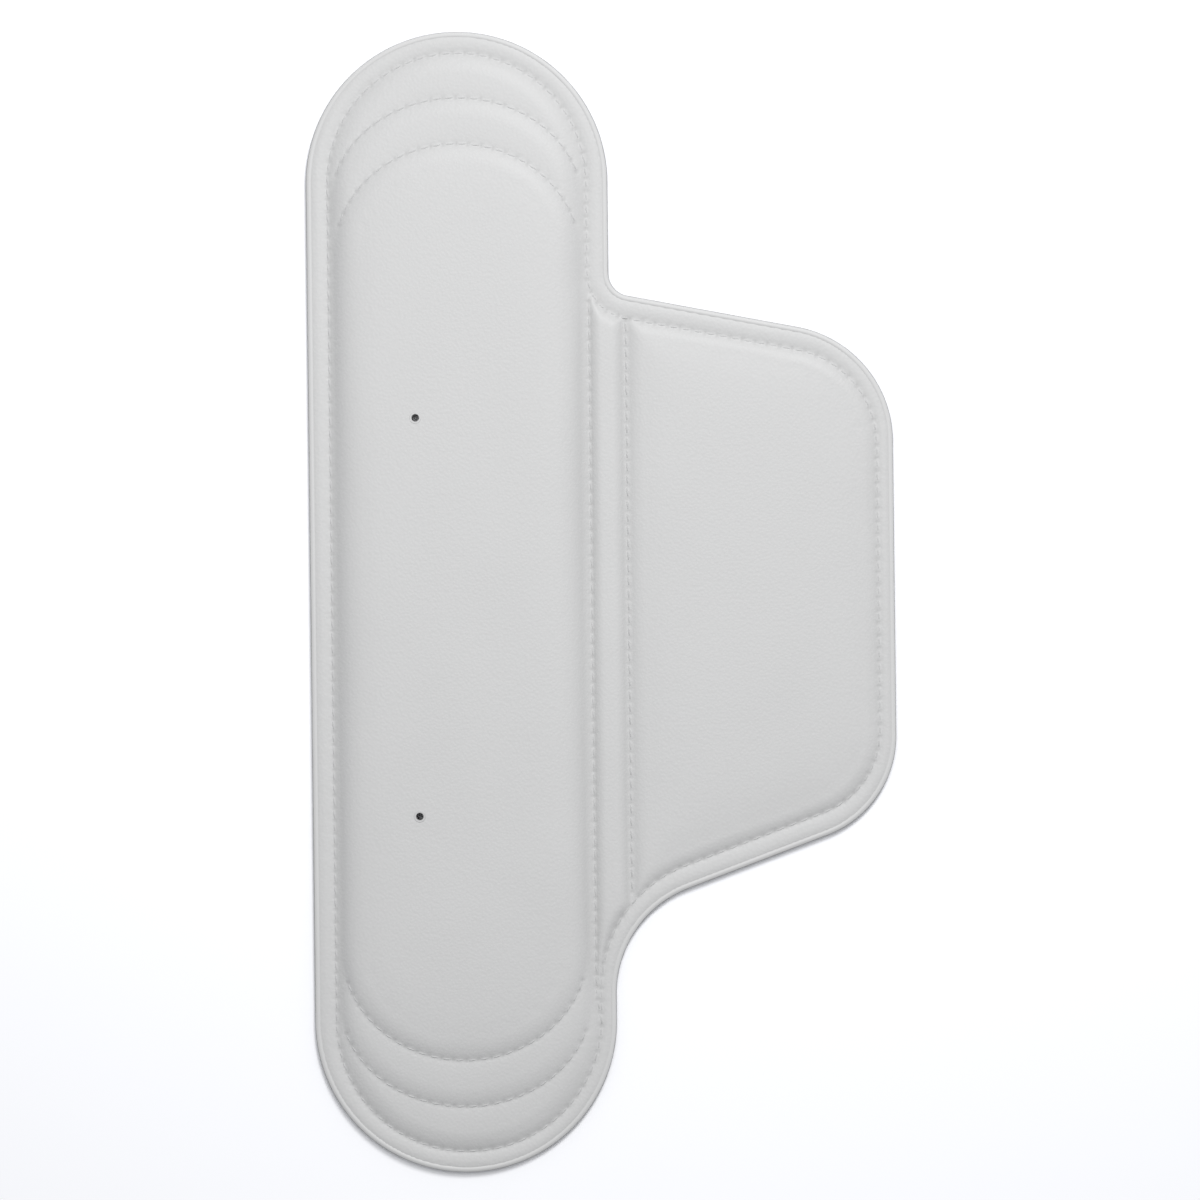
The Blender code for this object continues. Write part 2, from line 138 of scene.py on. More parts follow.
def cut_sheet(line, pitch):
    """Places and square faces of a flat sheet cut to a line and punched for the eyelets."""
    low = line.min(0) - pitch
    columns, rows = np.ceil((line.max(0) + pitch - low) / pitch).astype(int)
    grid = np.stack(np.meshgrid(np.arange(columns + 1), np.arange(rows + 1), indexing="ij"), -1)
    grid = grid.reshape(-1, 2) * pitch + low
    corner = np.arange(columns)[:, None] * (rows + 1) + np.arange(rows)
    faces = np.stack((corner, corner + rows + 1, corner + rows + 2, corner + 1), -1).reshape(-1, 4)
    middles = grid[faces].mean(1)
    kept = beside(middles, line)[0] > 0
    for eyelet in EYELETS:
        kept &= np.hypot(*(middles - eyelet).T) > EYELET_HOLE
    used, faces = np.unique(faces[kept], return_inverse=True)
    faces = faces.reshape(-1, 4)
    places = grid[used]
    cut = np.flatnonzero(np.bincount(faces.ravel()) < 4)
    places[cut] = beside(places[cut], line)[2]
    for eyelet in EYELETS:
        spokes = grid[used][cut] - eyelet
        reach = np.hypot(*spokes.T)
        punched = reach < EYELET_HOLE + 1.5 * pitch
        places[cut[punched]] = eyelet + spokes[punched] / reach[punched, None] * EYELET_HOLE
    return places, faces


def sewn_piece(name, points, faces, finish):
    """A smooth mesh object; it remembers where each point lies at rest, which its texture follows."""
    mesh = bpy.data.meshes.new(name)
    mesh.from_pydata(np.asarray(points).tolist(), [], faces)
    mesh.shade_smooth()
    mesh.materials.append(finish)
    attribute = mesh.attributes.new("rest_place", "FLOAT_VECTOR", "POINT")
    attribute.data.foreach_set("vector", np.asarray(points, np.float32).ravel())
    piece = bpy.data.objects.new(name, mesh)
    bpy.context.scene.collection.objects.link(piece)
    return piece


def bend_at_fold(piece):
    """Bakes the piece's placement into its points; the piece is not bent at the fold."""
    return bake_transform(piece)


def drawn_in(distance, reach):
    """1 on a stitched line, fading to 0 to either side of it."""
    return np.exp(-np.hypot(distance, 0.0004) / reach)


def rib_line_x(y):
    """The rib's stitching runs straight, then eases outwards to meet the stitching round the edge."""
    share = np.clip((-0.150 - y) / 0.022, 0, 1)
    return RIB_X + (RIB_LOWER_X - RIB_X) * share * share * (3 - 2 * share)


def inside_step(places, step):
    """How far inside a step's arc each place is: straight sides and half-elliptical ends."""
    half_width, half_length, depth = step
    over = np.maximum(np.abs(places[:, 1]) - (half_length - depth), 0)
    scale = np.hypot(places[:, 0] / half_width, over / depth)
    slope = np.hypot(places[:, 0] / half_width**2, over / depth**2) / np.maximum(scale, 1e-6)
    return (1 - scale) / np.maximum(slope, 0.5 / half_width)


def step_weight(places, step):
    """1 across the round end of a step, fading out where its stitching stops at the sides."""
    half_width, half_length, depth = step
    share = np.clip((np.abs(places[:, 1]) - (half_length - depth)) / (depth * 0.40), 0, 1)
    return share * share * (3 - 2 * share)


pad_edge = cutting_line([0.0] * 8)
seam_line = cutting_line(SEAM_MARGINS)


class Finish:
    """A procedural material: a shader with noise and bump laid out in a few calls."""

    def __init__(self, name, colour, roughness, slot_values=()):
        self.material = bpy.data.materials.new(name)
        self.material.use_nodes = True
        self.tree = self.material.node_tree
        self.shader = self.tree.nodes["Principled BSDF"]
        self.shader.inputs["Base Color"].default_value = (*colour, 1)
        self.shader.inputs["Roughness"].default_value = roughness
        self.material.diffuse_color = (*colour, 1)
        for socket, value in slot_values:
            self.shader.inputs[socket].default_value = value
        place = self.node("ShaderNodeAttribute")
        place.attribute_name = "rest_place"
        self.place = place.outputs["Vector"]

    def node(self, kind, **settings):
        made = self.tree.nodes.new(kind)
        for setting, value in settings.items():
            setattr(made, setting, value)
        return made

    def joined(self, node, inputs):
        for socket, value in inputs.items():
            if isinstance(value, bpy.types.NodeSocket):
                self.tree.links.new(value, node.inputs[socket])
            else:
                node.inputs[socket].default_value = value
        return node

    def grain(self, size, detail=2.0, rough=0.5, stretch=(1, 1, 1)):
        """Soft noise whose blotches are about the given size across."""
        scaled = self.joined(self.node("ShaderNodeMapping"), {"Vector": self.place, "Scale": stretch})
        noise = self.node("ShaderNodeTexNoise")
        inputs = {"Vector": scaled.outputs[0], "Scale": 1 / size, "Detail": detail, "Roughness": rough}
        return self.joined(noise, inputs).outputs["Fac"]

    def cells(self, size, feature="F1"):
        """Rounded cells about the given size across, 0 at their middles."""
        voronoi = self.node("ShaderNodeTexVoronoi", feature=feature)
        return self.joined(voronoi, {"Vector": self.place, "Scale": 1 / size}).outputs["Distance"]

    def spread(self, value, low, high, out_low, out_high):
        """A value's range mapped evenly to another range."""
        names = ("Value", "From Min", "From Max", "To Min", "To Max")
        inputs = dict(zip(names, (value, low, high, out_low, out_high)))
        return self.joined(self.node("ShaderNodeMapRange"), inputs).outputs["Result"]

    def sum(self, first, second, operation="ADD"):
        added = self.node("ShaderNodeMath", operation=operation)
        return self.joined(added, {0: first, 1: second}).outputs[0]

    def tint(self, colour, shade):
        """The colour made lighter or darker by a shade around 1."""
        mixed = self.node("ShaderNodeVectorMath", operation="SCALE")
        self.joined(mixed, {0: colour, "Scale": shade})
        self.tree.links.new(mixed.outputs[0], self.shader.inputs["Base Color"])

    def roughen(self, value):
        self.tree.links.new(value, self.shader.inputs["Roughness"])

    def bump(self, height, depth):
        """Relief from a height between 0 and 1, this deep in metres; calls add up."""
        bump = self.node("ShaderNodeBump")
        self.joined(bump, {"Height": height, "Distance": depth, "Strength": 1.0})
        earlier = self.shader.inputs["Normal"]
        if earlier.is_linked:
            self.tree.links.new(earlier.links[0].from_socket, bump.inputs["Normal"])
        self.tree.links.new(bump.outputs[0], earlier)
        return self


LINING_GREY = (0.60, 0.605, 0.615)
lining_sheen = (("Sheen Weight", 0.35), ("Sheen Roughness", 0.6))
lining_knit = Finish("brushed_knit", LINING_GREY, 0.95, lining_sheen)
loops = lining_knit.grain(0.0011, 1.0, 0.5, (1, 0.45, 1))
nap = lining_knit.grain(0.00035, 3.0, 0.65)
clouds = lining_knit.grain(0.03, 3.0)
worn = lining_knit.spread(clouds, 0.3, 0.7, -0.03, 0.03)
lining_knit.tint(LINING_GREY, lining_knit.sum(worn, lining_knit.spread(nap, 0.3, 0.7, 0.93, 1.06)))
lining_knit.bump(loops, 0.00030).bump(nap, 0.00012)

places, faces = cut_sheet(cutting_line([0.0012] * 8), 0.0015)
inside_seam = beside(places, seam_line)[0]
in_rib_run = (places[:, 1] < RIB_LINE_TOP) & (places[:, 1] > RIB_LINE_BOTTOM)
creases = np.maximum(
    drawn_in(inside_seam, 0.0022),
    np.maximum(
        np.where(in_rib_run, drawn_in(places[:, 0] - rib_line_x(places[:, 1]), 0.0018), 0),
        np.where(inside_seam > -0.001, drawn_in(places[:, 0] - FOLD_X, 0.0018), 0),
    ),
)
for step in (OUTER_STEP, INNER_STEP):
    arc_crease = 0.7 * drawn_in(inside_step(places, step), 0.002) * step_weight(places, step)
    creases = np.maximum(creases, arc_crease)
points = np.column_stack((places, 0.0009 * creases))
back_lining = sewn_piece("back_lining", points, faces[:, ::-1].tolist(), lining_knit.material)
bend_at_fold(back_lining)
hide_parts("shin_lining", "wing_lining")

# Foam layers. Sheets of closed-cell foam die-cut a little smaller than their pockets, so that the
# shin's three firm layers step down at each end. A soft sheet lies against the leg in both panels.

firm_foam = Finish("firm_cut_foam", (0.80, 0.80, 0.78), 0.92)
soft_foam = Finish("soft_cut_foam", (0.78, 0.77, 0.72), 0.95, (("Sheen Weight", 0.2),))
for foam, colour, cell in (
    (firm_foam, (0.80, 0.80, 0.78), 0.0006),
    (soft_foam, (0.78, 0.77, 0.72), 0.0010),
):
    pores = foam.cells(cell)
    blotches = foam.spread(foam.grain(0.02), 0, 1, -0.03, 0.03)
    foam.tint(colour, foam.sum(foam.spread(pores, 0.0, 0.7, 1.03, 0.88), blotches))
    foam.bump(foam.spread(pores, 0, 0.6, 1, 0), 0.00025)


def racetrack(half_width, half_length, depth):
    """A closed line with straight sides and half-elliptical ends."""
    angles = np.linspace(0, math.pi, 60)
    end = np.column_stack((half_width * np.cos(angles), half_length - depth + depth * np.sin(angles)))
    line = np.concatenate((end, -end, end[:1]))
    return evenly(line, 0.001)[:-1]


def between(line, left, right):
    """The part of a closed line's inside that lies between two upright cuts."""
    for limit, sign in ((left, 1), (right, -1)):
        kept = []
        for a, b in zip(line, np.roll(line, -1, axis=0)):
            gap_a, gap_b = sign * (a[0] - limit), sign * (b[0] - limit)
            if gap_a >= 0:
                kept.append(a)
            if gap_a * gap_b < 0:
                kept.append(a + (b - a) * gap_a / (gap_a - gap_b))
        line = np.array(kept)
    return evenly(np.concatenate((line, line[:1])), 0.001)[:-1]


def foam_sheet(node, line, edge_radius, finish, body):
    """A cut sheet with softened edges, as thick as the solid it stands for."""
    places, faces = cut_sheet(line, 0.002)
    low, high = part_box(node)[0].z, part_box(node)[1].z
    inset = np.minimum(beside(places, line)[0], edge_radius)
    fall = edge_radius - np.sqrt(np.maximum(edge_radius**2 - (edge_radius - inset) ** 2, 0))
    uneven = 0.00006 * np.sin(places[:, 0] * 310 + 2 * np.sin(places[:, 1] * 90)) * inset / edge_radius
    count = len(places)
    top = np.column_stack((places, high - fall + uneven - 0.00006))
    bottom = np.column_stack((places, low + fall))
    outward = {(int(a), int(b)) for face in faces for a, b in zip(face, np.roll(face, -1))}
    walls = [(b, a, a + count, b + count) for a, b in sorted(outward) if (b, a) not in outward]
    all_faces = faces.tolist() + (faces[:, ::-1] + count).tolist() + walls
    foam = sewn_piece(f"cut_{node}", np.concatenate((top, bottom)), all_faces, finish.material)
    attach(foam, body)
    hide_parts(node)
    return foam


foam_sheet("shin_comfort_foam", racetrack(0.0482, 0.2136, 0.0482), 0.0005, soft_foam, "shin")
foam_sheet("shin_base_foam", racetrack(0.0459, 0.2092, 0.0454), 0.0006, firm_foam, "shin")
foam_sheet("shin_middle_foam", racetrack(0.0438, 0.1920, 0.0378), 0.0003, firm_foam, "shin")
foam_sheet("shin_top_foam", racetrack(0.0408, 0.1736, 0.0398), 0.0008, firm_foam, "shin")
rib_outline = between(cutting_line([m + 0.0026 for m in SEAM_MARGINS]), 0.0542, 0.0624)
foam_sheet("rib_foam", rib_outline, 0.0014, firm_foam, "shin")
for node, margin, edge_radius, finish, slot, fill in (
    ("wing_comfort_foam", 0.0016, 0.0004, soft_foam, "soft_foam", 0.6),
    ("wing_core_foam", 0.0050, 0.0004, firm_foam, "firm_foam", 0.7),
):
    outline = cutting_line([m + 0.0013 + margin for m in SEAM_MARGINS])
    foam_sheet(node, between(outline, 0.0687 + margin, 1), edge_radius, finish, "wing")

# Stiffening board. A thin sheet of dark moulded plastic between the shin's base and middle foams,
# which spreads the blow of a ball. It is held in place by the foam on both sides.

BOARD_BLACK = (0.045, 0.048, 0.052)
board_plastic = Finish("ribbed_board", BOARD_BLACK, 0.42)
generated = board_plastic.node("ShaderNodeTexCoord").outputs["Object"]
board_plastic.place = generated
ridges = board_plastic.node("ShaderNodeTexWave", bands_direction="Y")
board_plastic.joined(ridges, {"Vector": generated, "Scale": 60.0, "Distortion": 0.0})
streaks = board_plastic.grain(0.004, 4)
board_plastic.tint(BOARD_BLACK, board_plastic.spread(streaks, 0.3, 0.7, 0.8, 1.25))
board_plastic.roughen(board_plastic.spread(board_plastic.grain(0.0012, 3), 0.3, 0.7, 0.34, 0.56))
board_plastic.bump(ridges.outputs["Fac"], 0.0003).bump(board_plastic.grain(0.0004), 0.00003)
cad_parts["shin_stiffening_board"].data.materials.clear()
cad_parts["shin_stiffening_board"].data.materials.append(board_plastic.material)

# Front cover. One skin of white coated fabric, matt and finely grained, over the whole front. Every
# quilted line is sewn right through it to the lining, and it swells over the foam between them.

WHITE = (0.545, 0.545, 0.543)
STITCH = 0.005
HOLE_REACH = 0.0009
COVER_PITCH = 0.0009
SWELL_LIMIT = 0.0008


def shoulder(distance, width, power):
    """A rounded rise from 0 at a stitched line to 1 at the given width in from it."""
    return 1 - (1 - np.clip(distance / width, 0, 1)) ** power


def soft_least(*distances):
    """The least of several distances, blended so that pockets have rounded corners."""
    least = np.minimum.reduce(distances)
    total = sum(np.maximum(d, 1e-6) ** -4.0 for d in distances)
    return np.where(least > 1e-6, total**-0.25, least)


def step_arc(step, end):
    """The stitched line across one end of a step; end is 1 at the knee and -1 at the foot."""
    half_width, half_length, depth = step
    angles = np.linspace(math.radians(17), math.radians(163), 120)
    ys = end * (half_length - depth + depth * np.sin(angles))
    return evenly(np.column_stack((half_width * np.cos(angles), ys)), STITCH)


def wandering(along, length, waves, seed):
    """A gentle irregular wave along a seam, between about -1 and 1."""
    chance = np.random.default_rng(seed)
    total = 0
    for wave in waves:
        total = total + np.sin(2 * math.pi * (round(length / wave) * along / length + chance.random()))
    return total / len(waves)


edge_length = np.hypot(*(np.roll(seam_line, -1, axis=0) - seam_line).T).sum()
edge_stitch_count = round(edge_length / STITCH)
edge_holes = evenly(np.concatenate((seam_line, seam_line[:1])), edge_length / edge_stitch_count)
rib_ys = np.arange(RIB_LINE_TOP, RIB_LINE_BOTTOM, -STITCH)
rib_holes = np.column_stack((rib_line_x(rib_ys), rib_ys))
fold_crossings = np.sort(seam_line[np.argsort(np.abs(seam_line[:, 0] - FOLD_X))[:2], 1])
fold_ys = np.arange(fold_crossings[1] - 0.001, fold_crossings[0] + 0.001, -STITCH)
fold_holes = np.column_stack((np.full(len(fold_ys), FOLD_X), fold_ys))
step_holes = {
    f"{end}_{depth}_step": step_arc(step, sign)
    for end, sign in (("knee", 1), ("foot", -1))
    for depth, step in (("outer", OUTER_STEP), ("inner", INNER_STEP))
}
all_holes = np.concatenate((edge_holes[:-1], rib_holes, fold_holes, *step_holes.values()))


def cover_height(places, with_holes=True):
    """Height of the cover's front face, and how strongly it is pinched at needle holes, at each place."""
    x, y = places.T
    edge = beside(places, pad_edge)[0]
    seam, along, _ = beside(places, seam_line)
    rib_x = rib_line_x(y)
    outer, inner = inside_step(places, OUTER_STEP), inside_step(places, INNER_STEP)
    on_shin, on_wing = x < rib_x, x > FOLD_X
    shin_room = soft_least(seam, np.where(on_shin, rib_x - x, 1e-6))
    rib_left = np.where(on_shin, 1e-6, x - rib_x)
    rib_room = soft_least(seam, rib_left, np.where(on_wing, 1e-6, FOLD_X - 0.001 - x))
    wing_room = soft_least(seam, np.where(on_wing, x - FOLD_X - 0.001, 1e-6))
    height = np.full(len(places), 0.00275)
    # The rim between piping and edge stitching is a soft empty roll.
    share = np.clip(edge / np.maximum(edge - seam, 1e-6), 0, 1)
    roll = 0.00045 * (1 - (2 * share - 1) ** 2)
    height += np.where(seam < 0, roll, 0)
    height -= 0.0002 * np.exp(-((edge - 0.0026) / 0.0006) ** 2)
    height -= 0.0006 * np.clip((0.0022 - edge) / 0.001, 0, 1)
    # The steps fall gently at the bolster's ends and steeply along its sides.
    shin = 0.0023 * shoulder(shin_room, 0.0080, 1.8) + 0.0005 * shoulder(shin_room, 0.018, 1.6)
    outer_width = 0.0095 - 0.0015 * step_weight(places, OUTER_STEP)
    inner_width = 0.0100 - 0.0015 * step_weight(places, INNER_STEP)
    shin += 0.0016 * shoulder(outer, outer_width, 2.0) + 0.0004 * shoulder(outer, 0.018, 1.6)
    shin += 0.0020 * shoulder(inner, inner_width, 2.0) + 0.0003 * shoulder(inner, 0.035, 1.8)
    rib = 0.0025 * shoulder(rib_room, 0.0046, 2.0)
    wing = 0.0015 * shoulder(wing_room, 0.0055, 2.0) + 0.0008 * shoulder(wing_room, 0.030, 1.8)
    height += np.where(seam > 0, np.where(on_shin, shin, np.where(on_wing, wing, rib)), 0)
    # Each stitched line pulls the cover down into a groove.
    in_rib_run = np.hypot(x - rib_x, np.maximum(np.maximum(y - RIB_LINE_TOP, RIB_LINE_BOTTOM - y), 0))
    in_fold_run = np.hypot(x - FOLD_X, np.maximum(-seam, 0))
    to_thread = soft_least(np.abs(seam) + 1e-5, in_rib_run + 1e-5, in_fold_run + 1e-5)
    height -= 0.00036 * drawn_in(to_thread, 0.0020)
    for distance, step in ((outer, OUTER_STEP), (inner, INNER_STEP)):
        height -= 0.00034 * drawn_in(distance, 0.0024) * step_weight(places, step) * (seam > 0)
    # Puckers run across the seams, and the skin lies a little unevenly over the foam.
    pucker = wandering(along, edge_length, (0.005, 0.0071, 0.0113), 3)
    height += 0.00007 * pucker * np.exp(-np.abs(seam) / 0.003)
    lie = np.sin(x * 75 + 1.5 * np.sin(y * 31)) * np.sin(y * 43 + 1.1 * np.sin(x * 57))
    height += 0.00010 * lie * (seam > 0.004)
    pinch = np.zeros(len(places))
    if with_holes:
        tree = KDTree(len(all_holes))
        for i, hole in enumerate(all_holes):
            tree.insert((*hole, 0), i)
        tree.balance()
        apart = np.array([tree.find((px, py, 0))[2] for px, py in places])
        pinch = np.exp(-((apart / HOLE_REACH) ** 2))
    return height - 0.00030 * pinch, pinch


coated = Finish("white_coated_fabric", WHITE, 0.5, (("Sheen Weight", 0.08), ("Specular IOR Level", 0.35)))
pebbles = coated.cells(0.0010, "SMOOTH_F1")
fine = coated.grain(0.00032, 2.0, 0.6)
cloudy = coated.grain(0.035, 3.0, 0.55)
pinched = coated.joined(coated.node("ShaderNodeAttribute", attribute_name="pinch"), {}).outputs["Fac"]
shade = coated.spread(pebbles, 0.1, 0.7, 1.012, 0.985)
shade = coated.sum(shade, coated.spread(cloudy, 0.3, 0.7, -0.010, 0.010))
shade = coated.sum(shade, coated.spread(fine, 0.3, 0.7, -0.012, 0.012))
# Painted shade: the cover is darkened by up to a fifth around each needle hole, standing in for the shade
# inside the pinched holes.
shade = coated.sum(shade, coated.spread(pinched, 0.15, 1.0, 0.0, -0.20))
coated.tint(WHITE, shade)
rubbed = coated.spread(cloudy, 0.3, 0.7, -0.03, 0.03)
coated.roughen(coated.sum(coated.spread(fine, 0.3, 0.7, 0.44, 0.56), rubbed))
coated.bump(coated.spread(pebbles, 0.0, 0.7, 1.0, 0.0), 0.00006).bump(fine, 0.00003)


def swell(pitch):
    """Foam presses the cover out between its seams: a cloth simulation of a coarser sheet, pinned where
    it is sewn and glued lightly to the foam elsewhere. Gives the sheet's places and how far they move."""
    places, faces = cut_sheet(cutting_line([0.0012] * 8), pitch)
    points = np.column_stack((places, cover_height(places, with_holes=False)[0]))
    sheet = sewn_piece("swelling_sheet", points, faces.tolist(), coated.material)
    seam = beside(places, seam_line)[0]
    sewn = np.minimum(np.abs(places[:, 0] - rib_line_x(places[:, 1])), np.abs(places[:, 0] - FOLD_X))
    for step in (OUTER_STEP, INNER_STEP):
        sewn = np.minimum(sewn, np.abs(inside_step(places, step)) + 0.004 * (1 - step_weight(places, step)))
    held = (seam < 0.0022) | (sewn < 0.0018)
    group = sheet.vertex_groups.new(name="held")
    group.add(np.flatnonzero(held).tolist(), 1.0, "REPLACE")
    group.add(np.flatnonzero(~held).tolist(), 0.12, "REPLACE")
    cloth = sheet.modifiers.new("swell", "CLOTH")
    cloth.settings.vertex_group_mass = "held"
    cloth.settings.pin_stiffness = 0.6
    cloth.settings.quality = 5
    cloth.settings.mass = 0.3
    cloth.settings.tension_stiffness = 12
    cloth.settings.compression_stiffness = 12
    cloth.settings.bending_stiffness = 0.8
    cloth.settings.use_pressure = True
    cloth.settings.uniform_pressure_force = 4.0
    cloth.settings.effector_weights.gravity = 0
    cloth.collision_settings.use_collision = False
    for moment in range(1, 21):
        bpy.context.scene.frame_set(moment)
    swollen = sheet.evaluated_get(bpy.context.evaluated_depsgraph_get())
    after = np.array([v.co for v in swollen.data.vertices])
    bpy.context.scene.frame_set(1)
    mesh = sheet.data
    bpy.data.objects.remove(sheet)
    bpy.data.meshes.remove(mesh)
    moved = after - points
    reach = np.linalg.norm(moved, axis=1, keepdims=True)
    return points, moved * SWELL_LIMIT * np.tanh(reach / SWELL_LIMIT) / np.maximum(reach, 1e-9)


def carried(points, sheet_points, moved):
    """The movement of a coarse sheet, carried over smoothly to the places of a finer one."""
    tree = KDTree(len(sheet_points))
    for i, (x, y, _) in enumerate(sheet_points):
        tree.insert((x, y, 0), i)
    tree.balance()
    near = [tree.find_n((x, y, 0), 6) for x, y, _ in points]
    index = np.array([[n[1] for n in found] for found in near])
    apart = np.array([[n[2] for n in found] for found in near])
    weight = np.exp(-((apart / 0.0022) ** 2)) + 1e-9
    return (moved[index] * weight[..., None]).sum(1) / weight.sum(1, keepdims=True)


places, faces = cut_sheet(cutting_line([0.0012] * 8), COVER_PITCH)
heights, pinch = cover_height(places)
points = np.column_stack((places, heights))
points = points + carried(points, *swell(0.003))
front_cover = sewn_piece("front_cover", points, faces.tolist(), coated.material)
attribute = front_cover.data.attributes.new("pinch", "FLOAT", "POINT")
attribute.data.foreach_set("value", pinch.astype(np.float32))
bend_at_fold(front_cover)
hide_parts("shin_cover", "wing_cover", "fold_seam")

# Stitching. White three-ply polyester thread, lockstitched at 5 mm: each stitch rises from one
# needle hole, lies in the groove it pulls, and dives into the next, leaning a little across the line.

thread = Finish("white_thread", (0.50, 0.50, 0.50), 0.62, (("Sheen Weight", 0.25),))
fuzz = thread.grain(0.00015, 2.0, 0.6)
thread.tint((0.50, 0.50, 0.50), thread.spread(fuzz, 0.3, 0.7, 0.92, 1.08))
thread.bump(fuzz, 0.00004)
THREAD_RADIUS = 0.00030
STITCH_RINGS = 11
THREAD_SIDES = 12
BOBBIN_LEVEL = 0.00048


def stitch_rings(start, end, levels, facing):
    """Rings of points along one stitch, which lies on the face that it faces and dives in at both ends."""
    along = end - start
    forward = along / np.hypot(*along)
    across = np.array((-forward[1], forward[0]))
    points = []
    for share in np.linspace(0, 1, STITCH_RINGS):
        flat = start + along * (0.13 + 0.74 * share) + across * 0.00018 * (2 * share - 1)
        arch = 1 - abs(2 * share - 1) ** 3.2
        depth = 0.0006 * (1 - arch) - 0.15 * THREAD_RADIUS
        level = levels[0] * (1 - share) + levels[1] * share - facing * depth
        tilt = -(2 * share - 1) * (1 - arch) * 0.9 * facing
        for angle in np.linspace(0, 2 * math.pi, THREAD_SIDES, endpoint=False):
            plies = THREAD_RADIUS * (0.80 + 0.20 * arch) * (1 + 0.16 * math.cos(3 * (angle - 5.2 * share)))
            side = across * plies * math.cos(angle) - forward * plies * math.sin(angle) * tilt
            points.append((flat[0] + side[0], flat[1] + side[1], level + plies * math.sin(angle)))
    return points


def stitched(name, holes):
    """One run of lockstitch: for each two holes a stitch on the cover and its fellow on the lining."""
    points, faces = [], []
    cover = cover_height(holes, with_holes=False)[0]
    for levels, facing in ((cover, 1), (np.full(len(holes), BOBBIN_LEVEL), -1)):
        for i in range(len(holes) - 1):
            first = len(points)
            points += stitch_rings(holes[i], holes[i + 1], levels[i : i + 2], facing)
            last = len(points) - THREAD_SIDES
            for ring in range(first, last, THREAD_SIDES):
                for k in range(THREAD_SIDES):
                    a, b = ring + k, ring + (k + 1) % THREAD_SIDES
                    faces.append((a, a + THREAD_SIDES, b + THREAD_SIDES, b))
            faces.append(tuple(range(first, first + THREAD_SIDES)))
            faces.append(tuple(range(last + THREAD_SIDES - 1, last - 1, -1)))
    piece = sewn_piece(name, points, faces, thread.material)
    return piece


edge_stitching = stitched("edge_stitching", edge_holes)
bend_at_fold(edge_stitching)
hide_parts("shin_edge_stitching", "wing_edge_stitching")
rib_thread = stitched("rib_thread", rib_holes)
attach(rib_thread, "shin")
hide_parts("rib_stitching")
fold_thread = stitched("fold_thread", fold_holes)
bend_at_fold(fold_thread)
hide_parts("fold_stitching")
for name, holes in step_holes.items():
    step_thread = stitched(f"{name}_thread", holes)
    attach(step_thread, "shin")
    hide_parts(f"{name}_stitching")

# Edge piping. A strip of the same coated fabric rolled round a thin cord and sewn in between cover
# and lining, which finishes the pad's edge. Its outer side is darkened with painted shade, and the
# whole strip is tinted a little lighter than the cover as a painted highlight.

PIPING_RADIUS = 0.0014
PIPING_SIDES = 16
PIPING_LEVEL = 0.0017
piping_line = cutting_line([PIPING_RADIUS] * 8)
ahead = np.roll(piping_line, -1, axis=0) - np.roll(piping_line, 1, axis=0)
outward = np.column_stack((ahead[:, 1], -ahead[:, 0])) / np.hypot(*ahead.T)[:, None]
points, underside = [], []
for i, (place, out) in enumerate(zip(piping_line, outward)):
    for k in range(PIPING_SIDES):
        angle = 2 * math.pi * k / PIPING_SIDES
        flat = place + out * PIPING_RADIUS * math.cos(angle)
        points.append((*flat, PIPING_LEVEL + PIPING_RADIUS * math.sin(angle)))
        underside.append(math.cos(angle - math.radians(-8)))
count = len(piping_line)
faces = []
for i in range(count):
    for k in range(PIPING_SIDES):
        here, there = i * PIPING_SIDES, (i + 1) % count * PIPING_SIDES
        faces.append((here + k, there + k, there + (k + 1) % PIPING_SIDES, here + (k + 1) % PIPING_SIDES))
piping = Finish("rolled_coated_edge", WHITE, 0.5, (("Specular IOR Level", 0.35),))
fine = piping.grain(0.00032, 2.0, 0.6)
# Noise that only wobbles the edge of the painted shade below.
shade_edge_wobble = piping.grain(0.006, 3.0, 0.6)
edge_on = piping.joined(piping.node("ShaderNodeAttribute", attribute_name="underside"), {}).outputs["Fac"]
edge_on = piping.sum(edge_on, piping.spread(shade_edge_wobble, 0.3, 0.7, -0.05, 0.05))
# Painted shade: the outer side of the roll is darkened by up to about half. The strip's few percent lift
# over the cover is a painted highlight.
painted_underside_shade = piping.spread(edge_on, 0.60, 0.85, 0.0, -0.52)
piping.tint(WHITE, piping.sum(piping.spread(fine, 0.3, 0.7, 1.02, 1.06), painted_underside_shade))
piping.bump(fine, 0.00003)
edge_piping = sewn_piece("edge_piping", points, faces, piping.material)
values = np.array(underside, np.float32)
edge_piping.data.attributes.new("underside", "FLOAT", "POINT").data.foreach_set("value", values)
bend_at_fold(edge_piping)
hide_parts("shin_piping", "wing_piping")

# Eyelets. Slim turned eyelets, lacquered white, pressed through every layer of the bolster; the
# flange sits on the cover and the barrel's far end is rolled over in the lining.

LACQUER_WHITE = (0.50, 0.50, 0.50)
lacquer_coat = (("Coat Weight", 0.3), ("Coat Roughness", 0.15))
lacquer = Finish("lacquered_eyelet", LACQUER_WHITE, 0.45, lacquer_coat)
lacquer.place = lacquer.node("ShaderNodeTexCoord").outputs["Object"]
lacquer.tint(LACQUER_WHITE, lacquer.spread(lacquer.grain(0.0004, 3), 0.3, 0.7, 0.93, 1.04))
lacquer.bump(lacquer.grain(0.0003, 2), 0.00001)
for node in ("upper_eyelet", "lower_eyelet"):
    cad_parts[node].data.materials.clear()
    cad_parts[node].data.materials.append(lacquer.material)

# Studio. A plain pale floor lit by a soft light close above the pad, a farther one beyond the knee
# end and pale air all round, seen from straight above.

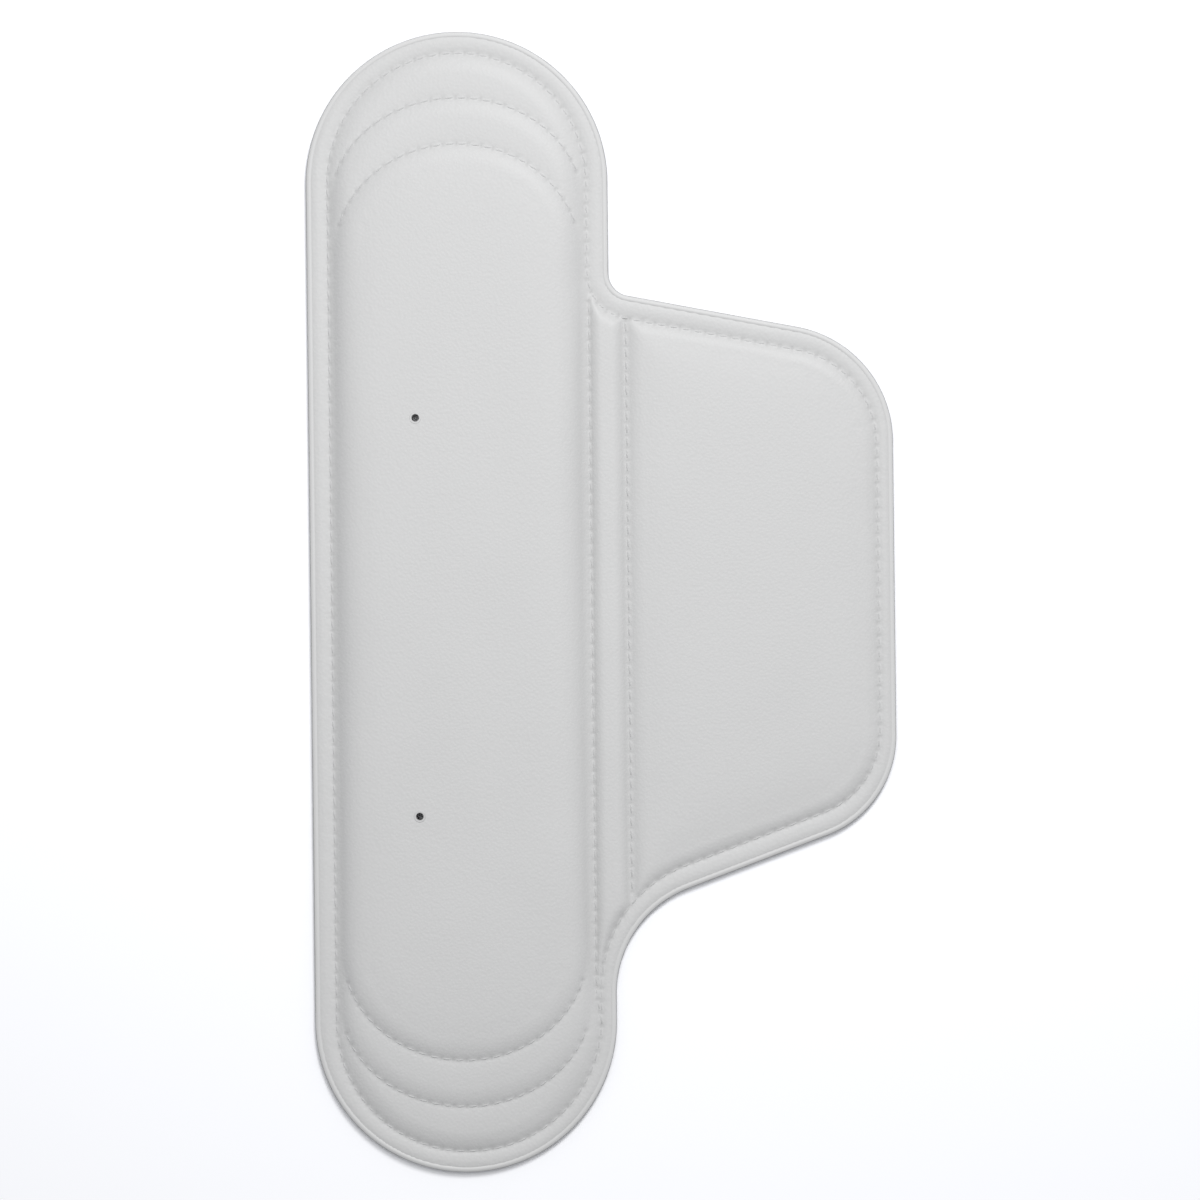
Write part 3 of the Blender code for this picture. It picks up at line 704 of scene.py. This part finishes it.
floor_mesh = bpy.data.meshes.new("studio_floor")
FLOOR_REACH, FLOOR_LEVEL = 4, -0.0003
corners = [(x * FLOOR_REACH, y * FLOOR_REACH, FLOOR_LEVEL) for x, y in ((-1, -1), (1, -1), (1, 1), (-1, 1))]
floor_mesh.from_pydata(corners, [], [(0, 1, 2, 3)])
floor = bpy.data.objects.new("studio_floor", floor_mesh)
bpy.context.scene.collection.objects.link(floor)
paper = Finish("studio_paper", (0.955, 0.96, 0.985), 0.95, (("Specular IOR Level", 0.0),))
floor_mesh.materials.append(paper.material)


def softbox(name, place, size, power):
    """A square soft light aimed at the middle of the pad."""
    lamp = bpy.data.lights.new(name, "AREA")
    lamp.shape = "SQUARE"
    lamp.size, lamp.energy = size, power
    light = bpy.data.objects.new(name, lamp)
    light.location = place
    light.rotation_euler = (Vector((0.05, 0, 0)) - light.location).to_track_quat("-Z", "Y").to_euler()
    bpy.context.scene.collection.objects.link(light)


softbox("overhead_softbox", (0.05, 0.24, 0.85), 0.5, 3.0)
softbox("side_softbox", (0.52, 1.40, 1.75), 0.6, 26)

world = bpy.data.worlds.new("studio_air")
bpy.context.scene.world = world
world.use_nodes = True
air = world.node_tree
air.nodes.clear()
glow = air.nodes.new("ShaderNodeBackground")
glow.inputs["Color"].default_value = (0.97, 0.98, 1.0, 1)
glow.inputs["Strength"].default_value = 0.455
seen = air.nodes.new("ShaderNodeBackground")
seen.inputs["Color"].default_value = (0.955, 0.965, 1.0, 1)
either = air.nodes.new("ShaderNodeMixShader")
rays = air.nodes.new("ShaderNodeLightPath")
air.links.new(rays.outputs["Is Camera Ray"], either.inputs[0])
air.links.new(glow.outputs[0], either.inputs[1])
air.links.new(seen.outputs[0], either.inputs[2])
air.links.new(either.outputs[0], air.nodes.new("ShaderNodeOutputWorld").inputs["Surface"])

bpy.context.scene.view_settings.view_transform = "Standard"
bpy.context.scene.view_settings.look = "None"

lens = bpy.data.cameras.new("overhead_camera")
lens.lens = 120
lens.sensor_width = 36
camera = bpy.data.objects.new("overhead_camera", lens)
camera.location = (0.0547, 0.0002, 1.58)
camera.rotation_euler = (0, 0, math.radians(-0.66))
bpy.context.scene.collection.objects.link(camera)
bpy.context.scene.camera = camera
